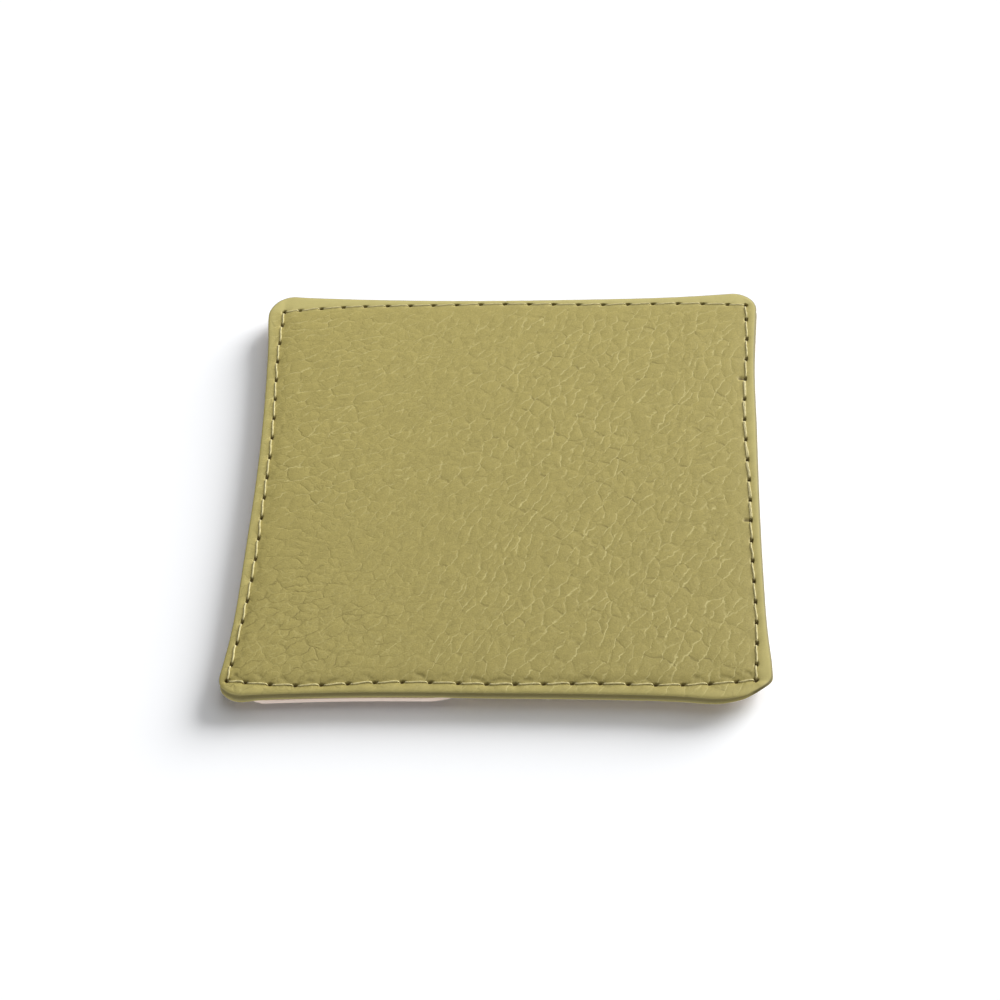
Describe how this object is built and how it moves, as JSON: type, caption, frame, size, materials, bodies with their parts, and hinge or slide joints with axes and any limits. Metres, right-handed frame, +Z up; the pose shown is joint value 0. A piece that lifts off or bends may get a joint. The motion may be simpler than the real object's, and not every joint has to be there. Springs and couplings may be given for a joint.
{
  "type": "card holder",
  "caption": "Flat square leather card holder: a turned-edge cover topstitched all round, with stepped card pockets on its other face.",
  "frame": {"origin": "centre of the footprint, on the outer face of the outermost pocket, where the holder lies", "axes": "+Z up out of the plain cover, +Y from the pockets' closed end towards their mouths, +X across the holder"},
  "size_m": [0.0978, 0.0976, 0.0051],
  "materials": {
    "olive_leather": "pebbled, semi-matt",
    "blush_leather": "smooth, matt",
    "blush_lining": "fine woven, matt",
    "kraft_board": "pressed fibre board, matt",
    "olive_thread": "twisted polyester, slight sheen",
    "blush_thread": "twisted polyester, slight sheen"
  },
  "bodies": {
    "root": {"front_cover": "olive_leather", "stiffener_board": "kraft_board", "back_lining": "blush_lining", "top_pocket": "blush_leather", "middle_pocket": "blush_leather", "front_pocket": "blush_leather", "needle_thread": "olive_thread", "bobbin_thread": "olive_thread", "top_pocket_needle_thread": "blush_thread", "top_pocket_bobbin_thread": "blush_thread", "middle_pocket_needle_thread": "blush_thread", "middle_pocket_bobbin_thread": "blush_thread"}
  },
  "joints": []
}
